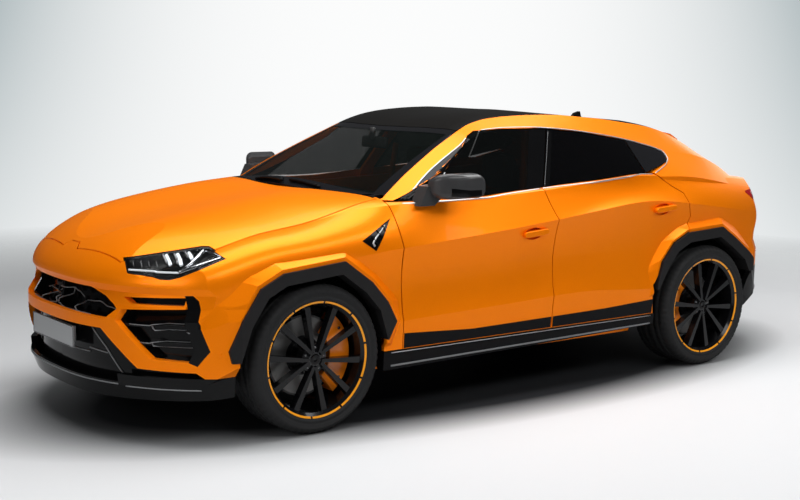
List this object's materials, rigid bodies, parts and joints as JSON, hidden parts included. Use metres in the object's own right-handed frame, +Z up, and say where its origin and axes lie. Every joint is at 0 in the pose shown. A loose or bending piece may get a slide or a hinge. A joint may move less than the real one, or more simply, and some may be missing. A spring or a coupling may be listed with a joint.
{
  "type": "sport utility vehicle",
  "caption": "Low coupe-roofed sport utility vehicle with opening doors, hood and tailgate, steered front wheels and a hollow cabin.",
  "frame": {"origin": "on the ground, on the centre plane, half way along the car", "axes": "+X towards the nose, +Y towards the car's left, +Z up"},
  "size_m": [5.112, 2.18, 1.6426],
  "materials": {
    "paint": "pearl orange paint under clear coat",
    "gloss_black": "gloss black",
    "matte_black": "textured black plastic",
    "structure": "satin black primer",
    "plate": "plain silver grey",
    "clear_glass": "clear, slightly green",
    "tinted_glass": "dark tint",
    "red_lamp": "dark red lens",
    "interior": "soft touch black",
    "seat_leather": "black leather",
    "cast_metal": "dark cast metal",
    "pipe": "brushed steel",
    "tyre": "matt rubber",
    "rim": "gloss black alloy with an orange lip"
  },
  "bodies": {
    "body": {"side_frame_left": "paint", "side_frame_right": "paint", "front_fender_left": "paint", "front_fender_right": "paint", "roof_panel": "gloss_black", "body_glass": "clear_glass", "front_bumper": "paint", "front_grilles": "gloss_black", "front_splitter": "gloss_black", "number_plates": "plate", "headlamps": "gloss_black", "headlamp_lenses": "clear_glass", "rear_bumper": "paint", "rear_diffuser": "matte_black", "tail_lamps": "red_lamp", "arch_trims": "matte_black", "wheel_liners": "matte_black", "side_skirts": "matte_black", "floor_pan": "structure", "cowl": "gloss_black", "dashboard": "interior", "front_seats": "seat_leather", "rear_seat": "seat_leather", "engine_block": "cast_metal", "exhaust": "pipe", "front_suspension": "cast_metal", "rear_suspension": "cast_metal", "rear_knuckles": "cast_metal"},
    "door_front_left": {"door_front_left": "paint", "glass_front_left": "clear_glass", "mirror_left": "gloss_black"},
    "door_rear_left": {"door_rear_left": "paint", "glass_rear_left": "tinted_glass"},
    "steer_left": {"knuckle_front_left": "cast_metal"},
    "wheel_front_left": {"tyre_front_left": "tyre", "rim_front_left": "rim"},
    "wheel_rear_left": {"tyre_rear_left": "tyre", "rim_rear_left": "rim"},
    "door_front_right": {"door_front_right": "paint", "glass_front_right": "clear_glass", "mirror_right": "gloss_black"},
    "door_rear_right": {"door_rear_right": "paint", "glass_rear_right": "tinted_glass"},
    "steer_right": {"knuckle_front_right": "cast_metal"},
    "wheel_front_right": {"tyre_front_right": "tyre", "rim_front_right": "rim"},
    "wheel_rear_right": {"tyre_rear_right": "tyre", "rim_rear_right": "rim"},
    "hood": {"hood": "paint"},
    "tailgate": {"tailgate": "paint", "rear_window": "tinted_glass"},
    "steering_wheel": {"steering_wheel": "interior"}
  },
  "joints": [
    {"name": "door_front_left_hinge", "type": "hinge", "parent": "body", "child": "door_front_left", "pos_m": [0.893, 0.95, 0.7425], "axis": [0, 0, -1], "range_deg": [0, 65]},
    {"name": "door_rear_left_hinge", "type": "hinge", "parent": "body", "child": "door_rear_left", "pos_m": [-0.235, 0.95, 0.7425], "axis": [0, 0, -1], "range_deg": [0, 65]},
    {"name": "door_front_right_hinge", "type": "hinge", "parent": "body", "child": "door_front_right", "pos_m": [0.893, -0.95, 0.7425], "axis": [0, 0, 1], "range_deg": [0, 65]},
    {"name": "door_rear_right_hinge", "type": "hinge", "parent": "body", "child": "door_rear_right", "pos_m": [-0.235, -0.95, 0.7425], "axis": [0, 0, 1], "range_deg": [0, 65]},
    {"name": "hood_hinge", "type": "hinge", "parent": "body", "child": "hood", "pos_m": [1.018, 0, 1.184], "axis": [0, -1, 0], "range_deg": [0, 55]},
    {"name": "tailgate_hinge", "type": "hinge", "parent": "body", "child": "tailgate", "pos_m": [-1.286, 0, 1.505], "axis": [0, 1, 0], "range_deg": [0, 75]},
    {"name": "steer_left_kingpin", "type": "hinge", "parent": "body", "child": "steer_left", "pos_m": [1.526, 0.7775, 0.392], "axis": [0, 0, 1], "range_deg": [-32, 32]},
    {"name": "steer_right_kingpin", "type": "hinge", "parent": "body", "child": "steer_right", "pos_m": [1.526, -0.7775, 0.392], "axis": [0, 0, 1], "range_deg": [-32, 32]},
    {"name": "wheel_front_left_spin", "type": "hinge", "parent": "steer_left", "child": "wheel_front_left", "pos_m": [1.526, 0.8475, 0.392], "axis": [0, 1, 0], "continuous": true},
    {"name": "wheel_rear_left_spin", "type": "hinge", "parent": "body", "child": "wheel_rear_left", "pos_m": [-1.477, 0.855, 0.39], "axis": [0, 1, 0], "continuous": true},
    {"name": "wheel_front_right_spin", "type": "hinge", "parent": "steer_right", "child": "wheel_front_right", "pos_m": [1.526, -0.8475, 0.392], "axis": [0, 1, 0], "continuous": true},
    {"name": "wheel_rear_right_spin", "type": "hinge", "parent": "body", "child": "wheel_rear_right", "pos_m": [-1.477, -0.855, 0.39], "axis": [0, 1, 0], "continuous": true},
    {"name": "steering_wheel_turn", "type": "hinge", "parent": "body", "child": "steering_wheel", "pos_m": [0.526, 0.39, 0.975], "axis": [-0.9135, 0, 0.4067], "range_deg": [-432, 432]}
  ],
  "couplings": [
    {"joint": "steer_right_kingpin", "follows": "steer_left_kingpin", "ratio": 1},
    {"joint": "steering_wheel_turn", "follows": "steer_left_kingpin", "ratio": 13.5}
  ]
}
